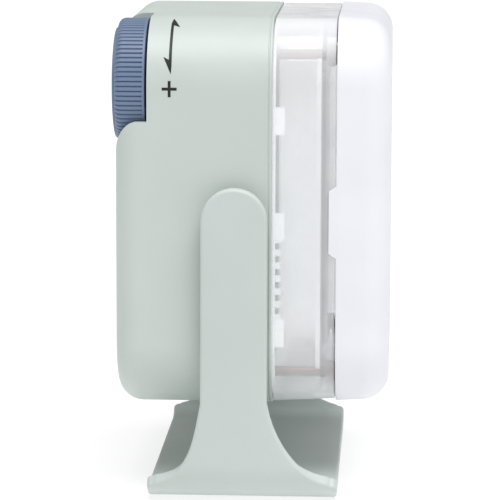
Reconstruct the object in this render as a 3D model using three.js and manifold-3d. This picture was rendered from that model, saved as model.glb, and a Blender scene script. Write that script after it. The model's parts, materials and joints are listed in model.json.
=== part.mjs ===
// A desk weather station: a moulded case with a clear middle and a frosted front, tilting in a U-shaped
// stand that has a flared foot. Millimetres, +Z up, +X out of the front, the setting wheel at -Y.
import * as THREE from "three";
import { mergeVertices } from "three/addons/utils/BufferGeometryUtils.js";
import Module from "manifold-3d";

const wasm = await Module();
wasm.setup();

// ---- driving dimensions ----
const GAP = 0.3; // between touching pieces
const FOOT_CLEARANCE = 31.2; // ground to the case's underside
const WIDTH = 118;
const HEIGHT = 137.6;
const CORNER = 23.8; // corner radius seen from the front
const REAR_X = -47.2;
const SEAM_X = 7.7; // casing meets the clear section
const COVER_X = 30.1; // clear section meets the front cover
const FRONT_X = 48.8;
const EDGE = 8.7; // rounding of the rear edges
const FRONT_EDGE = 9.6;
const WALL = 2.2;
const COVER_WALL = 2;
const CLEAR_DRAFT = 1.1; // how far the clear section's underside rises towards the front
const PIVOT_X = -5;

const BOTTOM_Z = FOOT_CLEARANCE;
const TOP_Z = BOTTOM_Z + HEIGHT;
const HALF = WIDTH / 2;
const PIVOT_Z = BOTTOM_Z + HEIGHT / 2;

// setting wheel, concentric with the rounded corner
const WHEEL_R = CORNER - 0.9;
const WHEEL_Y = -(HALF - CORNER);
const WHEEL_Z = TOP_Z - CORNER;
const WHEEL_FRONT_X = -36.6;
const WHEEL_RIDGES = 84;
const RIDGE = 0.55;
const NOTCH_X = WHEEL_FRONT_X + 0.9;
const NOTCH_R = WHEEL_R + 0.8;
const LEDGE = 11.4; // the notch's straight edges, this far past the wheel's centre
const SHOULDER = [8.2, 12.4]; // width and height of the curve from the ledge to the rear face
const STEM_R = 3;
const HUB_R = 8.6; // recess that the wheel's cap sits in

// stand
const ARM_GAP = 3.2;
const ARM_THICK = 5;
const ARM_HALF_WIDTH = 11.6;
const FOOT_REAR_X = -35.5;
const FOOT_FRONT_X = 31;
const FLARE_Z = 36; // an arm widens below this
const TOE_Z = 6.5; // top of the foot's front and rear edges
const BEND = 13.5; // outer radius where an arm turns into the foot
const ARM_OUT = HALF + ARM_GAP + ARM_THICK;
const STAND_BASE = 0.5; // the stand's underside, held off the ground by its pads
const PIN_R = 3.8;
const PIN_END = HALF - 14.3; // how far in from the arms the pivot pins reach
const PIN_GROOVE_R = 2.9; // under the clip
const BUSH_R = 4.9;
const SOCKET_R = 8.5;
const PAD_R = 5.7;
const PAD_X = [FOOT_REAR_X + 10, FOOT_FRONT_X - 10];
const PAD_Y = 44;
const padPlaces = PAD_X.flatMap((x) => [[x, -PAD_Y], [x, PAD_Y]]);

// case screws
const SCREW_INSET = 12.3;
const SCREW_R = 1.9;
const SCREW_HEAD_R = 4.3;
const FLANGE_X = 24.9;
const FLANGE_THICK = 1.5;

// battery bay
const CELL_R = 7.1;
const CELL_LENGTH = 50;
const CELL_PITCH = 15;
const CELL_COUNT = 3;
const BAY_Z = BOTTOM_Z + 17; // underside of the bay
const BAY_X = REAR_X + 3.4;
const BAY_DEPTH = 17.5;
const BAY_HALF_Y = 31;
const BAY_HEIGHT = CELL_COUNT * CELL_PITCH + 4;
const BAY_WALL = 1.5;
const DOOR_HALF_Y = 34.5;
const DOOR_LOW_Z = BAY_Z - 3.2;
const DOOR_HIGH_Z = BAY_Z + BAY_HEIGHT + 3.2;

// main board
const BOARD_X = -14;
const BOARD_THICK = 1.6;
const BOARD_HALF_Y = 40;
const BOARD_LOW_Z = BOTTOM_Z + 18;
const BOARD_HIGH_Z = BOTTOM_Z + 118;
const BOARD_SCREW_R = 1.2;
const STANDOFF_R = 2.6;
const standoffPlaces = [BOTTOM_Z + 22, BOTTOM_Z + 98].flatMap((z) => [[-37.4, z], [37.4, z]]);

// display
const TRAY_HALF_Y = 38;
const TRAY_LOW_Z = BOTTOM_Z + 22;
const TRAY_HIGH_Z = BOTTOM_Z + 116;
const TRAY_REAR_X = 10;
const TRAY_FRONT_X = FLANGE_X - GAP;
const TRAY_WALL = 1.6;
const DISPLAY_THICK = 2.2;
const BACKLIGHT_X = 18;
const BACKLIGHT_THICK = 2.5;

// ---- materials ----
function plastic(color, roughness = 0.5, opacity = 1) {
  const transparent = opacity < 1;
  return new THREE.MeshStandardMaterial({ color, roughness, metalness: 0, opacity, transparent });
}

const mint = plastic(0xc9d2cd, 0.45);
const clear = plastic(0xe6e8ec, 0.08, 0.35);
const frosted = plastic(0xf1f2f7, 0.4, 0.8);
const blue = plastic(0x7e8fa9, 0.5);
const white = plastic(0xeef0f0, 0.5);
const darkPlastic = plastic(0x2b2f33, 0.6);
const boardGreen = plastic(0x2f6b4a, 0.5);
const rubber = plastic(0x4a4d50, 0.9);
const nylon = plastic(0xe4e2d8, 0.5);
const cellWrap = plastic(0x3f5f8a, 0.35);
const steel = new THREE.MeshStandardMaterial({ color: 0xb9b2ac, roughness: 0.3, metalness: 1 });

// ---- solids ----
function toSolid(geometry) {
  const bare = geometry.clone();
  bare.deleteAttribute("normal");
  bare.deleteAttribute("uv");
  const merged = mergeVertices(bare, 1e-4);
  return new wasm.Manifold(
    new wasm.Mesh({
      numProp: 3,
      vertProperties: merged.attributes.position.array,
      triVerts: new Uint32Array(merged.index.array),
    }),
  );
}

function toGeometry(solid) {
  const made = solid.getMesh();
  const geometry = new THREE.BufferGeometry();
  geometry.setAttribute("position", new THREE.BufferAttribute(made.vertProperties.slice(), 3));
  geometry.setIndex(new THREE.BufferAttribute(made.triVerts.slice(), 1));
  geometry.computeVertexNormals();
  return geometry;
}

function box(x0, x1, y0, y1, z0, z1) {
  const geometry = new THREE.BoxGeometry(x1 - x0, y1 - y0, z1 - z0);
  return toSolid(geometry.translate((x0 + x1) / 2, (y0 + y1) / 2, (z0 + z1) / 2));
}

// A turned solid: profile points are [radius, distance], and place turns and moves it from the Y axis.
function turned(profile, segments, place) {
  const points = profile.map(([radius, distance]) => new THREE.Vector2(radius, distance));
  const make = (outwards) => toSolid(place(new THREE.LatheGeometry(outwards, segments)));
  const made = make(points);
  return made.volume() < 0 ? make(points.reverse()) : made;
}

// Along +X from x, on an axis through (y, z).
function turnedX(profile, x, y, z, segments = 32) {
  return turned(profile, segments, (geometry) => geometry.rotateZ(-Math.PI / 2).translate(x, y, z));
}

// Along +Y (side 1) or -Y (side -1), from y outwards.
function turnedY(profile, x, y, z, side = 1, segments = 32) {
  const sided = profile.map(([radius, distance]) => [radius, distance * side]);
  return turned(sided, segments, (geometry) => geometry.translate(x, y, z));
}

// Along +Z from z.
function turnedZ(profile, x, y, z, segments = 32) {
  return turned(profile, segments, (geometry) => geometry.rotateX(Math.PI / 2).translate(x, y, z));
}

function rod(radius, length) {
  return [[0, 0], [radius, 0], [radius, length], [0, length]];
}

function tube(outer, inner, length) {
  return [[inner, 0], [outer, 0], [outer, length], [inner, length], [inner, 0]];
}

function union(solids) {
  return solids.reduce((sum, solid) => sum.add(solid));
}

// Rounded rectangle outline in Y and Z, counter-clockwise seen from +X.
function outline({ halfY, lowZ, highZ, radius }, steps) {
  const points = [];
  const corners = [
    [halfY - radius, highZ - radius, 0],
    [-halfY + radius, highZ - radius, 1],
    [-halfY + radius, lowZ + radius, 2],
    [halfY - radius, lowZ + radius, 3],
  ];
  for (const [cy, cz, quarter] of corners) {
    for (let i = 0; i <= steps; i++) {
      const angle = ((quarter + i / steps) * Math.PI) / 2;
      points.push([cy + radius * Math.cos(angle), cz + radius * Math.sin(angle)]);
    }
  }
  return points;
}

// A closed solid through rounded-rectangle sections placed along +X.
function loft(sections, steps = 7) {
  const rings = sections.map((section) => outline(section, steps).map(([y, z]) => [section.x, y, z]));
  const count = rings[0].length;
  const vertices = rings.flat(2);
  const faces = [];
  for (let r = 0; r + 1 < rings.length; r++) {
    for (let i = 0; i < count; i++) {
      const a = r * count + i;
      const b = r * count + ((i + 1) % count);
      faces.push(a, b, a + count, b, b + count, a + count);
    }
  }
  const last = (rings.length - 1) * count;
  for (let i = 1; i + 1 < count; i++) {
    faces.push(0, i + 1, i, last, last + i, last + i + 1);
  }
  const geometry = new THREE.BufferGeometry();
  geometry.setAttribute("position", new THREE.BufferAttribute(new Float32Array(vertices), 3));
  geometry.setIndex(faces);
  const made = toSolid(geometry);
  if (made.volume() > 0) return made;
  const flipped = faces.slice();
  for (let i = 0; i < flipped.length; i += 3) [flipped[i + 1], flipped[i + 2]] = [faces[i + 2], faces[i + 1]];
  geometry.setIndex(flipped);
  return toSolid(geometry);
}

// Sections of a case whose far end is rounded: full is the section before the rounding starts.
function roundedEnd(full, x, radius, direction, steps = 5) {
  const sections = [];
  for (let i = 0; i <= steps; i++) {
    const angle = ((i / steps) * Math.PI) / 2;
    const moved = { ...full, x: x + direction * radius * Math.sin(angle) };
    sections.push(inset(moved, radius * (1 - Math.cos(angle))));
  }
  return sections;
}

function inset(section, by) {
  return {
    x: section.x,
    halfY: section.halfY - by,
    lowZ: section.lowZ + by,
    highZ: section.highZ - by,
    radius: Math.max(section.radius - by, 1),
  };
}

// An extruded outline in X and Z, between two Y positions.
function slabXZ(shape, y0, y1, curveSegments = 8) {
  const geometry = new THREE.ExtrudeGeometry(shape, { depth: y1 - y0, bevelEnabled: false, curveSegments });
  return toSolid(geometry.rotateX(Math.PI / 2).translate(0, y1, 0));
}

// An extruded outline in Y and Z, between two X positions.
function slabYZ(shape, x0, x1, curveSegments = 8) {
  const geometry = new THREE.ExtrudeGeometry(shape, { depth: x1 - x0, bevelEnabled: false, curveSegments });
  return toSolid(geometry.rotateX(Math.PI / 2).rotateZ(Math.PI / 2).translate(x0, 0, 0));
}

// ---- the assembly ----
const group = new THREE.Group();

function addPiece(name, solid, material) {
  const mesh = new THREE.Mesh(toGeometry(solid), material);
  mesh.name = name;
  group.add(mesh);
}

const caseSection = { x: SEAM_X, halfY: HALF, lowZ: BOTTOM_Z, highZ: TOP_Z, radius: CORNER };
const clearRear = { ...caseSection, x: SEAM_X + GAP, halfY: HALF - 0.4, lowZ: BOTTOM_Z + 0.3, highZ: TOP_Z - 0.4 };
const clearFront = { ...clearRear, x: COVER_X - GAP, lowZ: clearRear.lowZ + CLEAR_DRAFT };
const screwPlaces = [];
for (const y of [-(HALF - SCREW_INSET), HALF - SCREW_INSET]) {
  for (const z of [BOTTOM_Z + SCREW_INSET + 0.6, TOP_Z - SCREW_INSET]) screwPlaces.push([y, z]);
}

// ---- rear casing ----
function wheelNotch(grow) {
  const reach = NOTCH_R + grow;
  const front = NOTCH_X + grow;
  const ledge = WHEEL_Z - LEDGE - grow;
  const pocket = turnedX(rod(reach, front - REAR_X + 10), REAR_X - 10, WHEEL_Y, WHEEL_Z, 56);
  const corner = box(REAR_X - 10, front, -HALF - 10, WHEEL_Y + LEDGE + grow, ledge, TOP_Z + 10);
  return pocket.add(corner);
}

// The casing's shoulder below the wheel, a quarter ellipse that is cut away from the ledge to the rear face.
function shoulderCut() {
  const high = WHEEL_Z - LEDGE;
  const [wide, tall] = SHOULDER;
  const shape = new THREE.Shape();
  shape.moveTo(REAR_X - 10, high + 0.5);
  shape.lineTo(REAR_X + wide, high + 0.5);
  shape.lineTo(REAR_X + wide, high);
  shape.absellipse(REAR_X + wide, high - tall, wide, tall, Math.PI / 2, Math.PI, false, 0);
  shape.lineTo(REAR_X - 10, high - tall);
  shape.closePath();
  return slabXZ(shape, -HALF - 10, WHEEL_Y + LEDGE);
}

function pivotSocket(side) {
  return turnedY(rod(SOCKET_R, 12), PIVOT_X, side * (HALF - 12.6), PIVOT_Z, side, 36);
}

function pivotBore(side) {
  return turnedY(rod(BUSH_R + GAP, 30), PIVOT_X, side * (HALF - 16), PIVOT_Z, side, 36);
}

function makeRearCasing() {
  const outer = loft([...roundedEnd(caseSection, REAR_X + EDGE, EDGE, -1).reverse(), caseSection]);
  const innerSection = inset(caseSection, WALL);
  const inner = loft([
    ...roundedEnd(innerSection, REAR_X + EDGE, EDGE - WALL, -1).reverse(),
    { ...innerSection, x: SEAM_X + 1 },
  ]);
  const notch = wheelNotch(0);
  let casing = outer.subtract(inner).add(outer.intersect(wheelNotch(2)));
  for (const [y, z] of screwPlaces) {
    casing = casing.add(turnedX(rod(4, SEAM_X - REAR_X - 3.8), REAR_X + 1, y, z, 20).intersect(outer));
  }
  for (const [y, z] of standoffPlaces) {
    const standoff = turnedX(rod(STANDOFF_R, BOARD_X - GAP - REAR_X - 1), REAR_X + 1, y, z, 18);
    casing = casing.add(standoff.intersect(outer));
  }
  for (const side of [-1, 1]) casing = casing.add(pivotSocket(side).intersect(outer));
  casing = casing.subtract(notch).subtract(shoulderCut());
  for (const [y, z] of screwPlaces) {
    casing = casing.subtract(turnedX(rod(SCREW_R + GAP, 16), SEAM_X - 14, y, z, 20));
  }
  for (const [y, z] of standoffPlaces) {
    casing = casing.subtract(turnedX(rod(BOARD_SCREW_R + GAP, 9), BOARD_X - 8.5, y, z, 14));
  }
  for (const side of [-1, 1]) casing = casing.subtract(pivotBore(side));
  const doorHole = box(REAR_X - 1, BAY_X, -DOOR_HALF_Y, DOOR_HALF_Y, DOOR_LOW_Z, DOOR_HIGH_Z);
  casing = casing.subtract(doorHole);
  casing = casing.subtract(turnedX(rod(STEM_R + 2 * GAP, 8), NOTCH_X - 2, WHEEL_Y, WHEEL_Z, 24));
  return casing.subtract(ventSlots());
}

// Air slots through the casing's underside.
function ventSlots() {
  const slots = [];
  for (let i = 0; i < 6; i++) {
    const y = -20 + i * 8;
    slots.push(box(-34, -16, y - 1.2, y + 1.2, BOTTOM_Z - 1, BOTTOM_Z + WALL + 0.5));
  }
  return union(slots);
}

// ---- clear middle section, with a flange that carries the screw heads ----
function makeClearFrame() {
  const outer = loft([clearRear, clearFront]);
  const inner = loft([
    { ...inset(clearRear, WALL), x: clearRear.x - 1 },
    { ...inset(clearFront, WALL), x: clearFront.x + 1 },
  ]);
  const flangeOuter = loft([
    { ...inset(clearFront, WALL - 0.5), x: FLANGE_X },
    { ...inset(clearFront, WALL - 0.5), x: FLANGE_X + FLANGE_THICK },
  ]);
  const window = loft([
    { ...inset(clearFront, WALL + 7), x: FLANGE_X - 1, radius: 6 },
    { ...inset(clearFront, WALL + 7), x: FLANGE_X + FLANGE_THICK + 1, radius: 6 },
  ]);
  const ears = screwPlaces.map(([y, z]) => turnedX(rod(6.6, FLANGE_THICK), FLANGE_X, y, z, 28));
  const flange = flangeOuter.subtract(window).add(union(ears).intersect(flangeOuter));
  let frame = outer.subtract(inner).add(flange);
  for (const [y, z] of screwPlaces) {
    frame = frame.subtract(turnedX(rod(SCREW_R + GAP, 6), FLANGE_X - 2, y, z, 20));
  }
  return frame;
}

// ---- gasket between the casing and the clear section, with catches that reach into the clear section ----
const CATCH_Z = [WHEEL_Z - 11, PIVOT_Z - 3, BOTTOM_Z + 28];

function makeGasket() {
  const around = (by, x) => ({ ...inset(caseSection, by), x });
  const deep = WALL + 0.4 + GAP;
  const thick = 1.3;
  const outer = loft([around(deep, SEAM_X - 2.2), around(deep, SEAM_X + 1.2)]);
  const inner = loft([around(deep + thick, SEAM_X - 3), around(deep + thick, SEAM_X + 2)]);
  let ring = outer.subtract(inner);
  for (const side of [-1, 1]) {
    for (const z of CATCH_Z) {
      const y = side * (HALF - deep - thick / 2);
      ring = ring.add(box(SEAM_X - 1, SEAM_X + 4.4, y - thick / 2, y + thick / 2, z - 4.8, z + 4.8));
    }
  }
  return ring;
}

// ---- front cover with its finger tab ----
function makeFrontCover() {
  const lowZ = clearFront.lowZ - 0.6;
  const full = { x: COVER_X, halfY: HALF + 0.3, lowZ, highZ: TOP_Z + 0.3, radius: CORNER };
  const front = { ...inset(full, 0.5), x: FRONT_X - FRONT_EDGE };
  const outer = loft([full, ...roundedEnd(front, FRONT_X - FRONT_EDGE, FRONT_EDGE, 1)]);
  const innerFull = { ...inset(full, COVER_WALL), x: COVER_X - 1 };
  const innerEnd = roundedEnd(inset(front, COVER_WALL), FRONT_X - FRONT_EDGE, FRONT_EDGE - COVER_WALL, 1);
  const inner = loft([innerFull, ...innerEnd]);
  const shell = outer.subtract(inner);
  return shell.add(fingerTab());
}

function fingerTab() {
  const reach = 2.6;
  const chamfer = 1.8;
  const half = 12.8;
  const z = PIVOT_Z - 0.8;
  const shape = new THREE.Shape();
  shape.moveTo(COVER_X + 1, z - half);
  shape.lineTo(COVER_X, z - half);
  shape.lineTo(COVER_X - reach, z - half + chamfer);
  shape.lineTo(COVER_X - reach, z + half - chamfer);
  shape.lineTo(COVER_X, z + half);
  shape.lineTo(COVER_X + 1, z + half);
  shape.closePath();
  return slabXZ(shape, -HALF - 0.3, -HALF + 0.1);
}

// ---- setting wheel ----
function wheelRim() {
  const shape = new THREE.Shape();
  for (let i = 0; i < WHEEL_RIDGES * 2; i++) {
    const radius = WHEEL_R - (i % 2 ? RIDGE : 0);
    const angle = (i / (WHEEL_RIDGES * 2)) * 2 * Math.PI;
    const y = WHEEL_Y + radius * Math.cos(angle);
    const z = WHEEL_Z + radius * Math.sin(angle);
    if (i === 0) shape.moveTo(y, z);
    else shape.lineTo(y, z);
  }
  shape.closePath();
  return slabYZ(shape, REAR_X, WHEEL_FRONT_X);
}

function makeWheel() {
  const length = WHEEL_FRONT_X - REAR_X;
  const full = WHEEL_R + 0.2;
  const rounding = [[WHEEL_R - 2.4, 0], [WHEEL_R - 0.7, 0.7], [full, 2.4]];
  const bound = turnedX([[0, 0], ...rounding, [full, length], [0, length]], REAR_X, WHEEL_Y, WHEEL_Z, 56);
  const disc = turnedX(rod(WHEEL_R * 0.85, 4), REAR_X - 0.9, WHEEL_Y, WHEEL_Z, 56);
  const recess = turnedX(rod(HUB_R, 3), REAR_X - 1.2, WHEEL_Y, WHEEL_Z, 40);
  const stem = turnedX(rod(STEM_R, 10.5), WHEEL_FRONT_X - 1, WHEEL_Y, WHEEL_Z, 24);
  return wheelRim().intersect(bound).add(disc).subtract(recess).add(stem);
}

// Dished cap in the middle of the wheel.
function makeWheelCap() {
  const rim = HUB_R - 0.4;
  const dish = [[0, 0.9], [6.6, 0.2], [rim - 0.6, -1.6], [rim, -0.9], [rim, 1.4], [0, 1.4]];
  return turnedX(dish, REAR_X + 0.1, WHEEL_Y, WHEEL_Z, 40);
}

// ---- U-shaped stand ----
function standFace() {
  const crest = PIVOT_Z;
  const shape = new THREE.Shape();
  const half = ARM_HALF_WIDTH;
  shape.moveTo(FOOT_REAR_X, -1);
  shape.lineTo(FOOT_FRONT_X, -1);
  shape.lineTo(FOOT_FRONT_X, TOE_Z);
  shape.bezierCurveTo(FOOT_FRONT_X - 10, TOE_Z + 1.5, PIVOT_X + half + 3, 19, PIVOT_X + half, FLARE_Z);
  shape.lineTo(PIVOT_X + half, crest);
  shape.absarc(PIVOT_X, crest, half, 0, Math.PI, false);
  shape.lineTo(PIVOT_X - half, FLARE_Z);
  shape.bezierCurveTo(PIVOT_X - half - 3, 19, FOOT_REAR_X + 14, TOE_Z + 2.5, FOOT_REAR_X, TOE_Z);
  shape.closePath();
  return shape;
}

function stripSection() {
  const outer = ARM_OUT;
  const inner = ARM_OUT - ARM_THICK;
  const innerBend = BEND - ARM_THICK;
  const shape = new THREE.Shape();
  const bendZ = STAND_BASE + BEND;
  const high = PIVOT_Z + 20;
  shape.moveTo(-outer, high);
  shape.lineTo(-outer, bendZ);
  shape.absarc(-outer + BEND, bendZ, BEND, Math.PI, 1.5 * Math.PI, false);
  shape.lineTo(outer - BEND, STAND_BASE);
  shape.absarc(outer - BEND, bendZ, BEND, 1.5 * Math.PI, 2 * Math.PI, false);
  shape.lineTo(outer, high);
  shape.lineTo(inner, high);
  shape.lineTo(inner, bendZ);
  shape.absarc(outer - BEND, bendZ, innerBend, 2 * Math.PI, 1.5 * Math.PI, true);
  shape.lineTo(-outer + BEND, STAND_BASE + ARM_THICK);
  shape.absarc(-outer + BEND, bendZ, innerBend, 1.5 * Math.PI, Math.PI, true);
  shape.lineTo(-inner, high);
  shape.closePath();
  return shape;
}

function makeStand() {
  const strip = slabYZ(stripSection(), FOOT_REAR_X - 5, FOOT_FRONT_X + 5, 8);
  let stand = strip.intersect(slabXZ(standFace(), -ARM_OUT - 5, ARM_OUT + 5, 14));
  for (const side of [-1, 1]) {
    const pinLength = ARM_OUT - 1 - PIN_END;
    stand = stand.add(turnedY(rod(PIN_R, pinLength), PIVOT_X, side * PIN_END, PIVOT_Z, side, 28));
    const groove = tube(PIN_R + 1.2, PIN_GROOVE_R, 1.2);
    stand = stand.subtract(turnedY(groove, PIVOT_X, side * (PIN_END + 0.4), PIVOT_Z, side, 28));
  }
  for (const [x, y] of padPlaces) stand = stand.subtract(turnedZ(rod(PAD_R + GAP, 2.3), x, y, -0.5));
  return stand;
}

// ---- stand pads and pivot hardware ----
function makePad(x, y) {
  return turnedZ([[0, 0], [PAD_R - 0.5, 0], [PAD_R, 0.5], [PAD_R, 1.5], [0, 1.5]], x, y, 0);
}

function makeBush(side) {
  return turnedY(tube(BUSH_R, PIN_R + GAP, 12), PIVOT_X, side * (HALF - 12.4), PIVOT_Z, side, 28);
}

function makeFrictionWasher(side) {
  return turnedY(tube(9, PIN_R + GAP, ARM_GAP - 2 * GAP), PIVOT_X, side * (HALF + GAP), PIVOT_Z, side, 28);
}

function makePivotClip(side) {
  const y = side * PIN_END;
  const ring = turnedY(tube(PIN_R + 2.6, PIN_GROOVE_R + GAP, 0.7), PIVOT_X, y + side * 0.65, PIVOT_Z, side, 28);
  return ring.subtract(box(PIVOT_X - 1.8, PIVOT_X + 1.8, y - 3, y + 3, PIVOT_Z - 8, PIVOT_Z));
}

// ---- case screws ----
function makeCaseScrew(y, z) {
  const head = FLANGE_X + FLANGE_THICK + 1.2;
  const start = SEAM_X - 12.5;
  const shank = head - start;
  const point = [[0, 0], [1, 0.2], [SCREW_R, 2], [SCREW_R, shank]];
  const pan = [[SCREW_HEAD_R, shank], [SCREW_HEAD_R, shank + 1.9], [SCREW_HEAD_R - 0.6, shank + 2.5]];
  const recess = [[2.2, shank + 2.5], [2.2, shank + 1], [0, shank + 1]];
  return turnedX([...point, ...pan, ...recess], start, y, z, 28);
}

function makeScrewWasher(y, z) {
  return turnedX(tube(SCREW_HEAD_R, SCREW_R + 0.25, 0.6), FLANGE_X + FLANGE_THICK + GAP, y, z, 28);
}

// ---- white tray behind the display ----
function makeTray() {
  const section = { halfY: TRAY_HALF_Y, lowZ: TRAY_LOW_Z, highZ: TRAY_HIGH_Z, radius: 9 };
  const outer = loft([{ ...section, x: TRAY_REAR_X }, { ...section, x: TRAY_FRONT_X }]);
  const hollow = inset({ ...section, x: TRAY_REAR_X + TRAY_WALL }, TRAY_WALL);
  const inner = loft([hollow, { ...hollow, x: TRAY_FRONT_X + 1 }]);
  const rimSection = inset({ ...clearFront, x: TRAY_FRONT_X - TRAY_WALL }, WALL + 4.2);
  const rim = loft([rimSection, { ...rimSection, x: TRAY_FRONT_X }]);
  let tray = outer.add(rim).subtract(inner);
  for (const [y, z] of screwPlaces) {
    tray = tray.subtract(turnedX(rod(SCREW_R + GAP, 5), TRAY_FRONT_X - 3, y, z, 20));
  }
  const cable = turnedX(rod(4, 5), 8, 0, TRAY_LOW_Z + 14, 20);
  return tray.subtract(cable);
}

// A flat sheet with rounded corners.
function panel(halfY, lowZ, highZ, radius, x, thick) {
  return loft([{ x, halfY, lowZ, highZ, radius }, { x: x + thick, halfY, lowZ, highZ, radius }], 3);
}

function makeBacklight() {
  const edge = TRAY_WALL + 0.8;
  return panel(TRAY_HALF_Y - edge, TRAY_LOW_Z + edge, TRAY_HIGH_Z - edge, 5, BACKLIGHT_X, BACKLIGHT_THICK);
}

function makeDisplay() {
  return panel(TRAY_HALF_Y + 1, TRAY_LOW_Z - 1, TRAY_HIGH_Z + 1, 3, FLANGE_X, DISPLAY_THICK);
}

// ---- circuit boards and what is on them ----
function makeMainBoard() {
  let board = panel(BOARD_HALF_Y, BOARD_LOW_Z, BOARD_HIGH_Z, 2, BOARD_X, BOARD_THICK);
  for (const [y, z] of standoffPlaces) {
    board = board.subtract(turnedX(rod(BOARD_SCREW_R + GAP, 4), BOARD_X - 1, y, z, 14));
  }
  const encoder = box(BOARD_X - 1, BOARD_X + 3, WHEEL_Y - 8, WHEEL_Y + 8, WHEEL_Z - 8, BOARD_HIGH_Z + 1);
  return board.subtract(encoder);
}

function makeBoardScrew(y, z) {
  const head = BOARD_THICK + GAP + 7;
  const shank = [[0, 0], [BOARD_SCREW_R, 1], [BOARD_SCREW_R, head]];
  const wide = 2 * BOARD_SCREW_R;
  const cap = [[wide, head], [wide, head + 1.2], [1.6, head + 1.7], [0, head + 1.7]];
  return turnedX([...shank, ...cap], BOARD_X - 7, y, z, 18);
}

function makeEncoder() {
  const rear = NOTCH_X + 2 + GAP;
  const half = 6.6;
  const body = box(rear, rear + 7.6, WHEEL_Y - half, WHEEL_Y + half, WHEEL_Z - half, WHEEL_Z + half);
  return body.subtract(turnedX(rod(STEM_R + 0.2, 8), rear - 1, WHEEL_Y, WHEEL_Z, 24));
}

// Comb that lets room air reach the sensor behind it.
function makeLouvre() {
  const low = PIVOT_Z - 37;
  const high = PIVOT_Z - 1.5;
  const y = -(HALF - 6.4);
  let comb = box(SEAM_X - 3.5, SEAM_X + 3, y, y + 1.5, low, high);
  const pitch = 4.6;
  for (let i = 0; i < 7; i++) {
    const z = low + 3.6 + i * pitch;
    comb = comb.subtract(box(SEAM_X - 1.8, SEAM_X + 5, y - 1, y + 3, z - 1.2, z + 1.2));
  }
  return comb;
}

const SENSOR_Y = -(HALF - 10.4); // outer face of the sensor's board

function makeSensorBoard() {
  const y = SENSOR_Y;
  return box(-4, 9, y, y + 1.2, PIVOT_Z - 35, PIVOT_Z - 11);
}

function makeSensor() {
  const y = SENSOR_Y - GAP;
  return box(1, 6, y - 1.6, y, PIVOT_Z - 26, PIVOT_Z - 21);
}

function makeBuzzer() {
  const profile = [[0, 0], [6, 0], [6, 5.5], [1.2, 5.5], [1.2, 4.5], [0, 4.5]];
  return turnedX(profile, BOARD_X + BOARD_THICK + GAP, 20, BOARD_HIGH_Z - 28, 28);
}

function makeConnector() {
  const x = BOARD_X + BOARD_THICK + GAP;
  const z = BOARD_LOW_Z + 14;
  const body = box(x, x + 6, -7, 7, z, z + 5);
  return body.subtract(box(x + 1.2, x + 7, -6, 6, z + 1, z + 4));
}

// ---- batteries ----
const CELL_X = BAY_X + 7.9;

function cellZ(i) {
  return BAY_Z + 2 + CELL_PITCH * (i + 0.5);
}

function makeBatteryTray() {
  const front = BAY_X + BAY_DEPTH;
  const outer = box(REAR_X + WALL + 0.4, front, -BAY_HALF_Y, BAY_HALF_Y, BAY_Z, BAY_Z + BAY_HEIGHT);
  const innerY = BAY_HALF_Y - BAY_WALL;
  const innerHigh = BAY_Z + BAY_HEIGHT - BAY_WALL;
  const inner = box(REAR_X, front - BAY_WALL, -innerY, innerY, BAY_Z + BAY_WALL, innerHigh);
  return outer.subtract(inner);
}

function makeCell(i) {
  const length = CELL_LENGTH - 1.5;
  const side = i % 2 ? -1 : 1;
  const can = [[0, 0], [CELL_R - 0.4, 0], [CELL_R, 0.5], [CELL_R, length - 0.6], [CELL_R - 0.6, length]];
  const button = [[2.7, length], [2.7, length + 1.2], [0, length + 1.2]];
  return turnedY([...can, ...button], CELL_X, (-side * length) / 2, cellZ(i), side, 28);
}

// Coil spring that presses on a cell's flat end.
class ConeCoil extends THREE.Curve {
  constructor(x, y, z, side) {
    super();
    Object.assign(this, { x, y, z, side });
  }
  getPoint(t, target = new THREE.Vector3()) {
    const angle = t * 2.6 * 2 * Math.PI;
    const radius = 4.6 - 2 * t;
    const y = this.y - this.side * 2.9 * t;
    return target.set(this.x + radius * Math.cos(angle), y, this.z + radius * Math.sin(angle));
  }
}

function circleShape(radius, segments) {
  const points = [];
  for (let i = 0; i < segments; i++) {
    const angle = (i / segments) * 2 * Math.PI;
    points.push(new THREE.Vector2(radius * Math.cos(angle), radius * Math.sin(angle)));
  }
  return new THREE.Shape(points);
}

function makeCellSpring(i) {
  const side = i % 2 ? 1 : -1;
  const curve = new ConeCoil(CELL_X, side * (BAY_HALF_Y - 2.3), cellZ(i), side);
  const settings = { steps: 46, bevelEnabled: false, extrudePath: curve };
  return toSolid(new THREE.ExtrudeGeometry(circleShape(0.4, 6), settings));
}

function makeCellContact(i) {
  const side = i % 2 ? -1 : 1;
  const y = side * (BAY_HALF_Y - BAY_WALL - GAP - 0.4);
  return box(CELL_X - 5, CELL_X + 5, y - 0.4, y + 0.4, cellZ(i) - 5, cellZ(i) + 5);
}

function makeBatteryDoor() {
  const section = { halfY: DOOR_HALF_Y - 0.4, lowZ: DOOR_LOW_Z + 0.4, highZ: DOOR_HIGH_Z - 0.4, radius: 1.2 };
  let door = loft([{ ...section, x: REAR_X + 0.1 }, { ...section, x: REAR_X + 2 }], 2);
  for (let i = 0; i < 4; i++) {
    const z = DOOR_HIGH_Z - 6 - i * 2.4;
    door = door.add(box(REAR_X - 0.5, REAR_X + 1, -9, 9, z - 0.5, z + 0.5));
  }
  return door;
}

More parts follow.
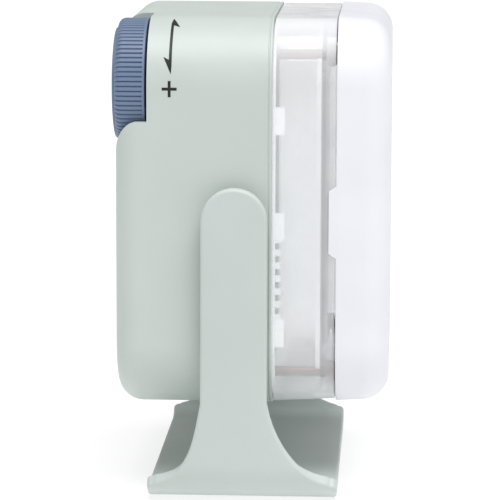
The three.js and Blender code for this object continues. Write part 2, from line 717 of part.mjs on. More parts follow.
// ---- placing the pieces ----
addPiece("yoke_stand", makeStand(), mint);
padPlaces.forEach(([x, y], i) => addPiece(`foot_pad_${i + 1}`, makePad(x, y), rubber));
for (const [label, side] of [["near", -1], ["far", 1]]) {
  addPiece(`friction_washer_${label}`, makeFrictionWasher(side), nylon);
  addPiece(`pivot_bush_${label}`, makeBush(side), nylon);
  addPiece(`pivot_clip_${label}`, makePivotClip(side), steel);
}
addPiece("rear_casing", makeRearCasing(), mint);
addPiece("seam_gasket", makeGasket(), white);
addPiece("clear_frame", makeClearFrame(), clear);
addPiece("front_cover", makeFrontCover(), frosted);
screwPlaces.forEach(([y, z], i) => {
  addPiece(`case_screw_${i + 1}`, makeCaseScrew(y, z), steel);
  addPiece(`screw_washer_${i + 1}`, makeScrewWasher(y, z), steel);
});
addPiece("setting_wheel", makeWheel(), blue);
addPiece("wheel_cap", makeWheelCap(), blue);
addPiece("wheel_encoder", makeEncoder(), darkPlastic);
addPiece("display_tray", makeTray(), white);
addPiece("backlight_panel", makeBacklight(), white);
addPiece("display_panel", makeDisplay(), darkPlastic);
addPiece("main_board", makeMainBoard(), boardGreen);
standoffPlaces.forEach(([y, z], i) => addPiece(`board_screw_${i + 1}`, makeBoardScrew(y, z), steel));
addPiece("buzzer", makeBuzzer(), darkPlastic);
addPiece("board_connector", makeConnector(), white);
addPiece("air_louvre", makeLouvre(), white);
addPiece("sensor_board", makeSensorBoard(), boardGreen);
addPiece("air_sensor", makeSensor(), darkPlastic);
addPiece("battery_tray", makeBatteryTray(), white);
for (let i = 0; i < CELL_COUNT; i++) {
  addPiece(`battery_${i + 1}`, makeCell(i), cellWrap);
  addPiece(`battery_spring_${i + 1}`, makeCellSpring(i), steel);
  addPiece(`battery_contact_${i + 1}`, makeCellContact(i), steel);
}
addPiece("battery_door", makeBatteryDoor(), mint);

export default group;
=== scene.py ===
"""Looks of the desk weather station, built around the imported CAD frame. Metres, +X front, +Z up."""
import json
import math

import bmesh
import bpy
from mathutils import Matrix, Vector


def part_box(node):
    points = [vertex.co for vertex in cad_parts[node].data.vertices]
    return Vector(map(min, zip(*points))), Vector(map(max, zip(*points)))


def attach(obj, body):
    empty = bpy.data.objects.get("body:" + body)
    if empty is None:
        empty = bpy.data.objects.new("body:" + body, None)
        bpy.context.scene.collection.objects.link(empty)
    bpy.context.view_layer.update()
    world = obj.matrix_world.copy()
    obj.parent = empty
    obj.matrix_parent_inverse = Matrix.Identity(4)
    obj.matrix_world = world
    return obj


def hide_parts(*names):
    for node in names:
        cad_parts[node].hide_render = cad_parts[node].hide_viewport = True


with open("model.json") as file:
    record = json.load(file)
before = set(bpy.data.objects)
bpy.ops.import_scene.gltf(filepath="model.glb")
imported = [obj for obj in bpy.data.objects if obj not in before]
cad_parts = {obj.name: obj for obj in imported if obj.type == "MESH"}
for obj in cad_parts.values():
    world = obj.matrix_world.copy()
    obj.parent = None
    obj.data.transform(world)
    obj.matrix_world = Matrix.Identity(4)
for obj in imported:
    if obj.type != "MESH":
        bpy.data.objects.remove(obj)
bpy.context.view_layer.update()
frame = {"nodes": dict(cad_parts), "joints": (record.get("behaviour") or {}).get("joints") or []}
nodes = frame["nodes"]

MM = 0.001
JOINTS = {joint["name"]: joint for joint in frame["joints"]}


# ---- places read from the frame ----
CASE_LOW, CASE_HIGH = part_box("rear_casing")
CLEAR_LOW, CLEAR_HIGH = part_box("clear_frame")
COVER_LOW, COVER_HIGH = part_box("front_cover")
WHEEL_LOW, WHEEL_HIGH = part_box("setting_wheel")
CAP_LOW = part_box("wheel_cap")[0]
STAND_LOW, STAND_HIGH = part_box("yoke_stand")
DOOR_LOW, DOOR_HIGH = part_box("battery_door")
SCREWS = [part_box(f"case_screw_{i}") for i in range(1, 5)]
PIVOT = Vector(JOINTS["head_tilt"]["pos_m"])
WHEEL = Vector(JOINTS["wheel_turn"]["pos_m"])

HALF = CASE_HIGH.y
CORNER = HALF + WHEEL.y  # the wheel is concentric with the rounded corner
WALL = 2.2 * MM
REAR_EDGE = 8.7 * MM  # rounding of the case's rear edge
FRONT_EDGE = 9.6 * MM  # rounding of the cover's front edge
WHEEL_R = (WHEEL_HIGH.z - WHEEL_LOW.z) / 2
NOTCH_R = WHEEL_R + 0.8 * MM
NOTCH_X = CASE_LOW.x + 11.5 * MM
LEDGE = 11.4 * MM  # the notch's straight edges, this far past the wheel's centre
BEYOND = 10 * MM  # how far a cutting shape reaches past what it cuts

POST_R = 4 * MM
POST_DEEP = 2.9 * MM  # from the seam down to a screw post's end
SCREW_HOLE_R = 2.2 * MM
SCREW_HEAD = 2.5 * MM  # height of a screw's head
SOCKET_R = 8.5 * MM
PIVOT_BORE_R = 5.2 * MM
STEM_HOLE_R = 3.6 * MM
FLANGE_THICK = 1.5 * MM
WASHER_ROOM = 1.2 * MM
EAR_R = 6.6 * MM


# ---- mesh helpers ----
def add_mesh(name, verts, faces, material=None, sharp=None):
    mesh = bpy.data.meshes.new(name)
    mesh.from_pydata([tuple(v) for v in verts], [], faces)
    mesh.validate()
    bm = bmesh.new()
    bm.from_mesh(mesh)
    bmesh.ops.remove_doubles(bm, verts=bm.verts, dist=1e-7)
    bmesh.ops.recalc_face_normals(bm, faces=bm.faces)
    bm.to_mesh(mesh)
    bm.free()
    obj = bpy.data.objects.new(name, mesh)
    bpy.context.scene.collection.objects.link(obj)
    smooth(obj, sharp)
    if material:
        mesh.materials.append(material)
    return obj


def smooth(obj, sharp=None):
    mesh = obj.data
    mesh.polygons.foreach_set("use_smooth", [True] * len(mesh.polygons))
    if sharp:
        mesh.set_sharp_from_angle(angle=math.radians(sharp))


def section(x, half_y, low_z, high_z, radius):
    return {"x": x, "half_y": half_y, "low_z": low_z, "high_z": high_z, "radius": radius}


def inset(sec, by, x=None):
    return section(
        sec["x"] if x is None else x,
        sec["half_y"] - by,
        sec["low_z"] + by,
        sec["high_z"] - by,
        max(sec["radius"] - by, 0.4 * MM),
    )


def ring_points(sec, steps, straight=6):
    """Rounded rectangle in Y and Z at x, with extra points along the straight sides."""
    hy, lo, hi, r = sec["half_y"], sec["low_z"], sec["high_z"], sec["radius"]
    centres = [(hy - r, hi - r), (-hy + r, hi - r), (-hy + r, lo + r), (hy - r, lo + r)]
    points = []
    for quarter, (cy, cz) in enumerate(centres):
        for i in range(steps + 1):
            a = (quarter + i / steps) * math.pi / 2
            points.append((cy + r * math.cos(a), cz + r * math.sin(a)))
        ny, nz = centres[(quarter + 1) % 4]
        b = (quarter + 1) * math.pi / 2
        end = (ny + r * math.cos(b), nz + r * math.sin(b))
        start = points[-1]
        for i in range(1, straight):
            t = i / straight
            points.append((start[0] + (end[0] - start[0]) * t, start[1] + (end[1] - start[1]) * t))
    return [(sec["x"], y, z) for y, z in points]


def tube_faces(rings, count):
    """Quads between rings of points that follow each other."""
    faces = []
    for ring in range(rings - 1):
        for i in range(count):
            here, there = ring * count, (ring + 1) * count
            j = (i + 1) % count
            faces.append((here + i, here + j, there + j, there + i))
    return faces


def loft(name, sections, material=None, steps=20, cap_start=True, cap_end=True, sharp=None):
    """A surface through the sections. A cap closes an end."""
    rings = [ring_points(s, steps) for s in sections]
    count = len(rings[0])
    verts = [p for ring in rings for p in ring]
    faces = tube_faces(len(rings), count)
    if cap_start:
        faces.append(tuple(range(count))[::-1])
    if cap_end:
        faces.append(tuple(range((len(rings) - 1) * count, len(rings) * count)))
    return add_mesh(name, verts, faces, material, sharp)


def rounded_end(full, radius, direction, steps=10):
    """Sections of a case end that is rounded by a quarter circle, starting at the full section."""
    made = []
    for i in range(1, steps + 1):
        a = i / steps * math.pi / 2
        by = radius * (1 - math.cos(a))
        made.append(inset(full, by, full["x"] + direction * radius * math.sin(a)))
    return made


def turned(name, profile, origin, axis, material=None, segments=72, sharp=40):
    """A lathe: profile points are (distance along the axis, radius)."""
    axis = Vector(axis).normalized()
    side = axis.orthogonal().normalized()
    other = axis.cross(side)
    verts = []
    for d, r in profile:
        for k in range(segments):
            a = 2 * math.pi * k / segments
            verts.append(Vector(origin) + axis * d + (side * math.cos(a) + other * math.sin(a)) * r)
    faces = tube_faces(len(profile), segments)
    faces.append(tuple(range(segments))[::-1])
    faces.append(tuple(range((len(profile) - 1) * segments, len(profile) * segments)))
    return add_mesh(name, verts, faces, material, sharp)


def rod(name, radius, length, origin, axis, segments=48):
    return turned(name, [(0, radius), (length, radius)], origin, axis, segments=segments)


def block(name, low, high, material=None):
    xs, ys, zs = zip(low, high)
    verts = [(x, y, z) for x in xs for y in ys for z in zs]
    faces = [(0, 1, 3, 2), (4, 6, 7, 5), (0, 4, 5, 1), (2, 3, 7, 6), (0, 2, 6, 4), (1, 5, 7, 3)]
    return add_mesh(name, verts, faces, material)


def prism(name, outline, axis, start, end, material=None):
    """An outline pushed along X, Y or Z. Outline points are the two other coordinates, in order."""
    def place(a, b, c):
        return {"x": (c, a, b), "y": (a, c, b), "z": (a, b, c)}[axis]

    n = len(outline)
    verts = [place(a, b, start) for a, b in outline] + [place(a, b, end) for a, b in outline]
    faces = [tuple(range(n))[::-1], tuple(range(n, 2 * n))]
    faces += [(i, (i + 1) % n, n + (i + 1) % n, n + i) for i in range(n)]
    return add_mesh(name, verts, faces, material)


def bake(obj):
    """Applies an object's modifiers to its mesh."""
    bpy.context.view_layer.update()
    graph = bpy.context.evaluated_depsgraph_get()
    mesh = bpy.data.meshes.new_from_object(obj.evaluated_get(graph))
    obj.modifiers.clear()
    obj.data = mesh
    return obj


def combine(obj, other, operation):
    """Joins, cuts or keeps the overlap with another object, which is used up."""
    step = obj.modifiers.new("cut", "BOOLEAN")
    step.operation = operation
    step.object = other
    step.solver = "MANIFOLD"
    bake(obj)
    bpy.data.objects.remove(other)
    return obj


def merge_flat(obj):
    """Joins doubled points, slivers and the small faces that share a plane after cutting."""
    bm = bmesh.new()
    bm.from_mesh(obj.data)
    bmesh.ops.remove_doubles(bm, verts=bm.verts, dist=4e-6)
    bmesh.ops.dissolve_degenerate(bm, dist=2e-6, edges=bm.edges)
    bmesh.ops.dissolve_limit(bm, angle_limit=math.radians(0.2), verts=bm.verts, edges=bm.edges)
    bm.to_mesh(obj.data)
    bm.free()


def soften(obj, width, segments=3, angle=40):
    """Rounds the sharp edges and keeps flat faces flat in the shading."""
    merge_flat(obj)
    step = obj.modifiers.new("rounding", "BEVEL")
    step.width = width
    step.segments = segments
    step.limit_method = "ANGLE"
    step.angle_limit = math.radians(angle)
    bake(obj)
    shade_by_area(obj)
    return obj


def shade_by_area(obj, angle=38):
    """Corner normals led by the largest face around, so big flat faces stay flat up to their edges."""
    mesh = obj.data
    smooth(obj)
    limit = math.cos(math.radians(angle))
    around = [[] for _ in mesh.vertices]
    for face in mesh.polygons:
        for v in face.vertices:
            around[v].append(face.index)
    facing = [face.normal.copy() for face in mesh.polygons]
    area = [face.area for face in mesh.polygons]
    normals = []
    for face in mesh.polygons:
        own = facing[face.index]
        for v in face.vertices:
            total = Vector((0, 0, 0))
            for other in around[v]:
                if own.dot(facing[other]) > limit:
                    total += facing[other] * area[other]
            normals.append(total.normalized() if total.length > 0 else own)
    mesh.normals_split_custom_set(normals)


def paint(obj, material):
    obj.data.materials.clear()
    obj.data.materials.append(material)
    return obj


def stand_for(obj, body, slot, *cad_nodes):
    """The piece rides on a body and stands for CAD nodes."""
    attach(obj, body)
    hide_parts(*cad_nodes)
    return obj


# ---- materials ----
def linear(r, g, b):
    def channel(c):
        c /= 255
        return c / 12.92 if c <= 0.04045 else ((c + 0.055) / 1.055) ** 2.4

    return (channel(r), channel(g), channel(b), 1)


class Shader:
    """A Principled material with short calls to wire its inputs."""

    def __init__(self, name):
        self.material = bpy.data.materials.new(name)
        self.material.use_nodes = True
        self.tree = self.material.node_tree
        self.bsdf = self.tree.nodes["Principled BSDF"]
        self.place = self.node("ShaderNodeTexCoord").outputs["Object"]

    def node(self, kind, **settings):
        made = self.tree.nodes.new(kind)
        for key, value in settings.items():
            setattr(made, key, value)
        return made

    def set(self, **sockets):
        for key, value in sockets.items():
            self.bsdf.inputs[key.replace("_", " ")].default_value = value
        return self

    def link(self, a, b):
        self.tree.links.new(a, b)

    def noise(self, scale, detail=3, rough=0.5, place=None):
        made = self.node("ShaderNodeTexNoise")
        made.inputs["Scale"].default_value = scale
        made.inputs["Detail"].default_value = detail
        made.inputs["Roughness"].default_value = rough
        self.link(place or self.place, made.inputs["Vector"])
        return made.outputs["Fac"]

    def facing_up(self):
        """How far the surface faces up in the object's own space: 1 up, 0 upright, -1 down."""
        parts = self.node("ShaderNodeSeparateXYZ")
        self.link(self.node("ShaderNodeTexCoord").outputs["Normal"], parts.inputs[0])
        return parts.outputs["Z"]

    def spread(self, value, low, high, from_low=0.3, from_high=0.7):
        made = self.node("ShaderNodeMapRange")
        ends = {"From Min": from_low, "From Max": from_high, "To Min": low, "To Max": high}
        for key, number in ends.items():
            made.inputs[key].default_value = number
        self.link(value, made.inputs["Value"])
        return made.outputs["Result"]

    def blend(self, factor, a, b):
        made = self.node("ShaderNodeMix", data_type="RGBA")
        self.link(factor, made.inputs["Factor"])
        for socket, value in ((made.inputs[6], a), (made.inputs[7], b)):
            if hasattr(value, "is_output"):
                self.link(value, socket)
            else:
                socket.default_value = value
        return made.outputs[2]

    def math(self, operation, a, b=None):
        made = self.node("ShaderNodeMath", operation=operation)
        for socket, value in zip(made.inputs, (a, b)):
            if value is None:
                continue
            if hasattr(value, "is_output"):
                self.link(value, socket)
            else:
                socket.default_value = value
        return made.outputs[0]

    def bump(self, height, distance, strength=1.0):
        made = self.node("ShaderNodeBump")
        made.inputs["Distance"].default_value = distance
        made.inputs["Strength"].default_value = strength
        self.link(height, made.inputs["Height"])
        if self.bsdf.inputs["Normal"].is_linked:
            self.link(self.bsdf.inputs["Normal"].links[0].from_socket, made.inputs["Normal"])
        self.link(made.outputs["Normal"], self.bsdf.inputs["Normal"])


def moulded(name, color, roughness=0.45, grain=2600, depth=0.012 * MM, mottle=0.02, **extra):
    """Moulded plastic: spark-eroded grain and faint flow mottling."""
    s = Shader(name)
    darker = tuple(c * (1 - mottle) for c in color[:3]) + (1,)
    lighter = tuple(min(c * (1 + mottle), 1) for c in color[:3]) + (1,)
    body = s.blend(s.spread(s.noise(38, 4), 0, 1), darker, lighter)
    speck = s.spread(s.noise(1500, 2), 0, 0.35, 0.62, 0.8)
    body = s.blend(speck, body, tuple(c * 0.93 for c in color[:3]) + (1,))
    s.link(body, s.bsdf.inputs["Base Color"])
    worn = s.spread(s.noise(75, 5, 0.6), roughness - 0.05, roughness + 0.06)
    s.link(worn, s.bsdf.inputs["Roughness"])
    s.bump(s.noise(grain, 3, 0.6), depth, 0.55)
    s.bump(s.noise(grain / 9, 2), depth * 1.6, 0.15)
    s.set(**extra)
    return s.material


def clear_plastic():
    """A thin clear wall, a little milky, with faint flow marks; its top and bottom walls are painted less
    see-through, standing in for the light a real clear wall bends and reflects there.
    """
    s = Shader("clear_plastic")
    tint = s.blend(s.spread(s.noise(28, 3), 0, 1), linear(246, 247, 251), linear(252, 253, 255))
    s.link(tint, s.bsdf.inputs["Base Color"])
    s.link(s.spread(s.noise(90, 5, 0.6), 0.14, 0.24), s.bsdf.inputs["Roughness"])
    # painted reflection: walls facing up or down let less through, standing in for light bent and reflected
    # inside a clear wall
    level = s.math("ABSOLUTE", s.facing_up())
    haze = s.spread(s.noise(55, 4), 0.3, 0.34)
    s.link(s.math("ADD", haze, s.spread(level, 0, 0.46, 0.5, 1)), s.bsdf.inputs["Alpha"])
    s.bump(s.noise(60, 1), 0.03 * MM, 0.1)
    s.bump(s.noise(1900, 2), 0.006 * MM, 0.35)
    return s.material


def frosted_plastic():
    """Milky plastic that hides nearly all of what is behind it."""
    s = Shader("frosted_plastic")
    tint = s.blend(s.spread(s.noise(24, 3), 0, 1), linear(236, 237, 243), linear(243, 244, 249))
    s.link(tint, s.bsdf.inputs["Base Color"])
    s.link(s.spread(s.noise(60, 2), 0.37, 0.41), s.bsdf.inputs["Roughness"])
    s.link(s.spread(s.noise(40, 2), 0.93, 0.95), s.bsdf.inputs["Alpha"])
    s.bump(s.noise(2600, 3, 0.6), 0.01 * MM, 0.5)
    return s.material


def steel(name, color, roughness=0.28, streak=(900, 90, 90)):
    """Bright metal with drawn streaks and a little tarnish."""
    s = Shader(name)
    stretch = s.node("ShaderNodeMapping")
    stretch.inputs["Scale"].default_value = streak
    s.link(s.place, stretch.inputs["Vector"])
    lines = s.noise(9, 4, 0.6, stretch.outputs["Vector"])
    shade = s.blend(s.spread(lines, 0, 1), tuple(c * 0.82 for c in color[:3]) + (1,), color)
    stain = s.spread(s.noise(700, 3), 0, 0.4, 0.5, 0.75)
    s.link(s.blend(stain, shade, linear(116, 88, 70)), s.bsdf.inputs["Base Color"])
    s.link(s.spread(lines, roughness - 0.06, roughness + 0.1), s.bsdf.inputs["Roughness"])
    s.set(Metallic=1.0)
    s.bump(lines, 0.01 * MM, 0.4)
    return s.material


def circuit_board():
    """Solder mask over copper tracks: tracks from a brick grid, pads from small cells."""
    s = Shader("circuit_board")
    turn = s.node("ShaderNodeMapping")
    turn.inputs["Rotation"].default_value = (0, math.pi / 2, 0)
    s.link(s.place, turn.inputs["Vector"])
    tracks = s.node("ShaderNodeTexBrick")
    tracks.inputs["Scale"].default_value = 160
    tracks.inputs["Mortar Size"].default_value = 0.035
    s.link(turn.outputs["Vector"], tracks.inputs["Vector"])
    pads = s.node("ShaderNodeTexVoronoi")
    pads.inputs["Scale"].default_value = 260
    s.link(s.place, pads.inputs["Vector"])
    pad = s.spread(pads.outputs["Distance"], 1, 0, 0.12, 0.17)
    mask = s.blend(s.spread(s.noise(60, 3), 0, 1), linear(28, 82, 58), linear(38, 98, 68))
    mask = s.blend(tracks.outputs["Fac"], mask, linear(52, 122, 84))
    s.link(s.blend(pad, mask, linear(196, 178, 128)), s.bsdf.inputs["Base Color"])
    s.link(s.spread(s.noise(300, 3), 0.25, 0.38), s.bsdf.inputs["Roughness"])
    s.set(Coat_Weight=0.3)
    s.bump(s.math("ADD", tracks.outputs["Fac"], pad), 0.03 * MM, 0.5)
    return s.material


def cell_sleeve():
    """Printed sleeve of a dry cell, with a metallic band round one end. Bands run across the cell."""
    s = Shader("cell_sleeve")
    parts = s.node("ShaderNodeSeparateXYZ")
    s.link(s.place, parts.inputs["Vector"])
    band = s.spread(parts.outputs["Y"], 0, 1, 12 * MM, 12.2 * MM)
    base = s.blend(s.spread(s.noise(50, 3), 0, 1), linear(44, 74, 118), linear(52, 86, 132))
    s.link(s.blend(band, base, linear(196, 140, 92)), s.bsdf.inputs["Base Color"])
    s.link(s.spread(s.noise(200, 4), 0.22, 0.34), s.bsdf.inputs["Roughness"])
    s.link(s.math("MULTIPLY", band, 0.6), s.bsdf.inputs["Metallic"])
    s.bump(s.noise(500, 3), 0.01 * MM, 0.3)
    return s.material


def display_glass():
    """The plain grey-green face of a liquid-crystal display: a faint dot grid and no figures."""
    s = Shader("display_glass")
    grid = s.node("ShaderNodeTexBrick")
    grid.offset = 0
    turn = s.node("ShaderNodeMapping")
    turn.inputs["Rotation"].default_value = (0, math.pi / 2, 0)
    s.link(s.place, turn.inputs["Vector"])
    s.link(turn.outputs["Vector"], grid.inputs["Vector"])
    grid.inputs["Scale"].default_value = 900
    grid.inputs["Mortar Size"].default_value = 0.05
    base = s.blend(s.spread(s.noise(30, 3), 0, 1), linear(196, 204, 200), linear(206, 213, 210))
    s.link(s.blend(s.math("MULTIPLY", grid.outputs["Fac"], 0.3), base, linear(150, 160, 158)),
           s.bsdf.inputs["Base Color"])
    s.link(s.spread(s.noise(150, 4), 0.12, 0.22), s.bsdf.inputs["Roughness"])
    s.set(Coat_Weight=0.6)
    return s.material


def soft_rubber():
    s = Shader("soft_rubber")
    s.link(s.blend(s.spread(s.noise(300, 4), 0, 1), linear(58, 60, 62), linear(76, 78, 80)),
           s.bsdf.inputs["Base Color"])
    s.link(s.spread(s.noise(400, 4), 0.75, 0.92), s.bsdf.inputs["Roughness"])
    s.bump(s.noise(1800, 3), 0.03 * MM, 0.6)
    return s.material


def printed_ink():
    s = Shader("printed_ink")
    s.link(s.blend(s.spread(s.noise(2500, 4), 0, 1), linear(6, 8, 8), linear(16, 18, 18)),
           s.bsdf.inputs["Base Color"])
    s.link(s.spread(s.noise(1200, 3), 0.4, 0.6), s.bsdf.inputs["Roughness"])
    s.bump(s.noise(3000, 3), 0.004 * MM, 0.4)
    return s.material


def studio_floor():
    s = Shader("studio_floor")
    tone = s.blend(s.spread(s.noise(3, 3), 0, 1), linear(158, 158, 158), linear(161, 161, 161))
    s.link(tone, s.bsdf.inputs["Base Color"])
    s.set(Roughness=0.9, Specular_IOR_Level=0.1)
    s.set(Emission_Color=(1, 1, 1, 1), Emission_Strength=0.72)  # lit by itself, to match a white ground
    return s.material


MINT = moulded("mint_plastic", linear(196, 205, 200), 0.42)
MINT_STAND = moulded("mint_stand", linear(195, 204, 200), 0.42)
BLUE = moulded("blue_plastic", linear(109, 127, 155), 0.45)
WHITE = moulded("white_plastic", linear(246, 248, 250), 0.5, mottle=0.012,
                Emission_Color=(1, 1, 1, 1), Emission_Strength=0.2)  # painted light: a faint glow of their own brightens these white pieces in the shaded case
DARK = moulded("dark_plastic", linear(40, 43, 46), 0.5)
NYLON = moulded("nylon", linear(232, 230, 220), 0.4, grain=1500)
BACKLIGHT = moulded("backlight_sheet", linear(244, 246, 248), 0.3, grain=900, mottle=0.01)
CLEAR = clear_plastic()
FROSTED = frosted_plastic()
STEEL = steel("screw_steel", linear(136, 104, 84), 0.34)
NICKEL = steel("nickel_strip", linear(206, 202, 192), 0.22, (90, 90, 900))
BOARD = circuit_board()
SLEEVE = cell_sleeve()
DISPLAY = display_glass()
RUBBER = soft_rubber()
INK = printed_ink()


# ---- rear casing ----
CASE = section(CASE_HIGH.x, HALF, CASE_LOW.z, CASE_HIGH.z, CORNER)


def casing_outer():
    """Outer form: rounded rear, and a fine groove just behind the seam."""
    rear = inset(CASE, 0, CASE_LOW.x + REAR_EDGE)
    sections = rounded_end(rear, REAR_EDGE, -1, 14)[::-1] + [rear]
    groove_steps = [(1.45, 0), (1.35, 0.1), (1.25, 0.28), (0.95, 0.28), (0.85, 0.1), (0.75, 0)]
    rim_steps = [(0.25, 0), (0.07, 0.07), (0, 0.25)]
    for back, by in groove_steps + rim_steps:
        sections.append(inset(CASE, by * MM, CASE_HIGH.x - back * MM))
    return loft("rear_casing_shell", sections)


def casing_inner():
    rear = inset(CASE, WALL, CASE_LOW.x + REAR_EDGE)
    sections = rounded_end(rear, REAR_EDGE - WALL, -1, 8)[::-1] + [rear]
    sections.append(inset(CASE, WALL, CASE_HIGH.x + 1 * MM))
    return loft("inner", sections)


def notch_form(grow):
    """The space that the wheel takes: a round pocket and the open corner outside it."""
    front = NOTCH_X + grow
    start = CASE_LOW.x - BEYOND
    pocket = rod("pocket", NOTCH_R + grow, front - start, (start, WHEEL.y, WHEEL.z), (1, 0, 0), 160)
    corner = block("corner", (start, -HALF - BEYOND, WHEEL.z - LEDGE - grow),
                   (front, WHEEL.y + LEDGE + grow, CASE_HIGH.z + BEYOND))
    return combine(pocket, corner, "UNION")


def shoulder_form():
    """What the curved shoulder leaves off, from the ledge under the wheel to the rear face."""
    wide, tall, steps = 8.2 * MM, 12.4 * MM, 28
    high = WHEEL.z - LEDGE
    inner = CASE_LOW.x + wide
    over = 0.5 * MM
    outline = [(CASE_LOW.x - BEYOND, high + over), (inner, high + over)]
    for i in range(steps + 1):
        a = math.pi / 2 * (1 + i / steps)
        outline.append((inner + wide * math.cos(a), high - tall + tall * math.sin(a)))
    outline.append((CASE_LOW.x - BEYOND, high - tall))
    return prism("shoulder", outline, "y", -HALF - BEYOND, WHEEL.y + LEDGE)


def screw_centres():
    """Y and Z of each case screw."""
    return [((low.y + high.y) / 2, (low.z + high.z) / 2) for low, high in SCREWS]


def make_casing():
    shell = casing_outer()
    backing = combine(notch_form(2 * MM), casing_outer(), "INTERSECT")
    combine(shell, casing_inner(), "DIFFERENCE")
    combine(shell, backing, "UNION")
    post_start = CASE_LOW.x + 4.5 * MM  # inside the rounded rear corner
    post_length = CASE_HIGH.x - POST_DEEP - post_start
    for y, z in screw_centres():
        post = rod("post", POST_R, post_length, (post_start, y, z), (1, 0, 0), 32)
        combine(shell, post, "UNION")
    for side in (-1, 1):
        start = (PIVOT.x, side * (HALF - 12.6 * MM), PIVOT.z)
        socket = rod("socket", SOCKET_R, 11.8 * MM, start, (0, side, 0), 64)
        combine(shell, socket, "UNION")
    combine(shell, notch_form(0), "DIFFERENCE")
    combine(shell, shoulder_form(), "DIFFERENCE")
    cut_casing(shell)
    soften(shell, 0.5 * MM)
    paint(shell, MINT)
    return stand_for(shell, "head", "mint_case", "rear_casing")


def cut_casing(shell):
    """Holes for the screws, the pivot pins, the wheel's stem, the battery door and the air slots."""
    for y, z in screw_centres():
        hole = rod("hole", SCREW_HOLE_R, 20 * MM, (CASE_HIGH.x - 14 * MM, y, z), (1, 0, 0), 32)
        combine(shell, hole, "DIFFERENCE")
    for side in (-1, 1):
        start = (PIVOT.x, side * (HALF - 16 * MM), PIVOT.z)
        bore = rod("bore", PIVOT_BORE_R, 30 * MM, start, (0, side, 0), 64)
        combine(shell, bore, "DIFFERENCE")
    stem = rod("stem", STEM_HOLE_R, 8 * MM, (NOTCH_X - 2 * MM, WHEEL.y, WHEEL.z), (1, 0, 0))
    combine(shell, stem, "DIFFERENCE")
    cut_doorway(shell)
    cut_air_slots(shell)


def cut_doorway(shell):
    gap = 0.4 * MM
    back = CASE_LOW.x - 2 * MM
    hole = section(back, DOOR_HIGH.y + gap, DOOR_LOW.z - gap, DOOR_HIGH.z + gap, 1.6 * MM)
    doorway = loft("doorway", [hole, dict(hole, x=CASE_LOW.x + 3.4 * MM)], steps=6)
    combine(shell, doorway, "DIFFERENCE")


def cut_air_slots(shell):
    """A row of slots through the underside."""
    rear, front = -34 * MM, -16 * MM
    half = 1.2 * MM
    low, high = CASE_LOW.z - 1 * MM, CASE_LOW.z + WALL + 0.5 * MM
    for i in range(6):
        y = (-20 + 8 * i) * MM
        slot = block("slot", (rear, y - half, low), (front, y + half, high))
        combine(shell, slot, "DIFFERENCE")


# ---- clear middle section ----
def clear_sections():
    draft = 1.1 * MM
    rear = section(CLEAR_LOW.x, CLEAR_HIGH.y, CLEAR_LOW.z, CLEAR_HIGH.z, CORNER)
    front = section(CLEAR_HIGH.x, CLEAR_HIGH.y, CLEAR_LOW.z + draft, CLEAR_HIGH.z, CORNER)
    return rear, front


def between(a, b, x):
    """The section at x on the way from section a to section b."""
    t = (x - a["x"]) / (b["x"] - a["x"])
    return {k: x if k == "x" else a[k] + (b[k] - a[k]) * t for k in a}


def eased_rim(full, edge, ease, direction):
    """Sections of a rim with an eased outer edge, from its end inwards; direction is -1 or 1 in X."""
    return [
        inset(full, edge),
        inset(full, ease, full["x"] + direction * 0.12 * MM),
        inset(full, 0, full["x"] + direction * edge),
    ]


def make_flange(front, flange_x):
    """The inner flange with its window, and an ear round each screw."""
    rim = inset(front, WALL - 0.6 * MM, flange_x)
    solid = [rim, inset(rim, 0, flange_x + FLANGE_THICK)]
    flange = loft("flange", solid)
    window = inset(front, WALL + 7 * MM, flange_x - 1 * MM)
    window["radius"] = 6 * MM
    combine(flange, loft("window", [window, dict(window, x=flange_x + 3 * MM)]), "DIFFERENCE")
    for y, z in screw_centres():
        ear = rod("ear", EAR_R, FLANGE_THICK, (flange_x, y, z), (1, 0, 0))
        combine(ear, loft("trim", solid), "INTERSECT")
        combine(flange, ear, "UNION")
    return flange


def make_clear_frame():
    rear, front = clear_sections()
    edge, ease, steps = 0.35 * MM, 0.1 * MM, 8
    outer = eased_rim(rear, edge, ease, 1)
    for i in range(1, steps):
        outer.append(between(rear, front, rear["x"] + (front["x"] - rear["x"]) * i / steps))
    outer += eased_rim(front, edge, ease, -1)[::-1]
    inner = [inset(s, WALL, s["x"]) for s in (front, between(rear, front, 20 * MM), rear)]
    wall = loft("clear_section", outer + inner + [outer[0]], cap_start=False, cap_end=False)
    flange_x = SCREWS[0][1].x - SCREW_HEAD - WASHER_ROOM - FLANGE_THICK
    combine(wall, make_flange(front, flange_x), "UNION")
    for y, z in screw_centres():
        hole = rod("hole", SCREW_HOLE_R, 6 * MM, (flange_x - 2 * MM, y, z), (1, 0, 0), 32)
        combine(wall, hole, "DIFFERENCE")
    soften(wall, 0.2 * MM, 2)
    paint(wall, CLEAR)
    return stand_for(wall, "head", "clear_plastic", "clear_frame")


# ---- front cover ----
def make_front_cover():
    full_x = COVER_LOW.x + 2.6 * MM
    full = section(full_x, COVER_HIGH.y, COVER_LOW.z, COVER_HIGH.z, CORNER)
    front = inset(full, 0.5 * MM, COVER_HIGH.x - FRONT_EDGE)
    outer = eased_rim(full, 0.4 * MM, 0.12 * MM, 1)
    outer += [between(full, front, full_x + (front["x"] - full_x) * t / 5) for t in range(1, 6)]
    outer += rounded_end(front, FRONT_EDGE, 1, 16)
    wall = 2 * MM
    inner_front = inset(front, wall)
    inner = [inset(full, wall, full_x), inner_front]
    inner += rounded_end(inner_front, FRONT_EDGE - wall, 1, 12)
    shell = loft("frosted_cover", inner[::-1] + outer)
    combine(shell, make_finger_tab(full_x), "UNION")
    soften(shell, 0.15 * MM, 2)
    paint(shell, FROSTED)
    return stand_for(shell, "front_cover", "frosted_plastic", "front_cover")


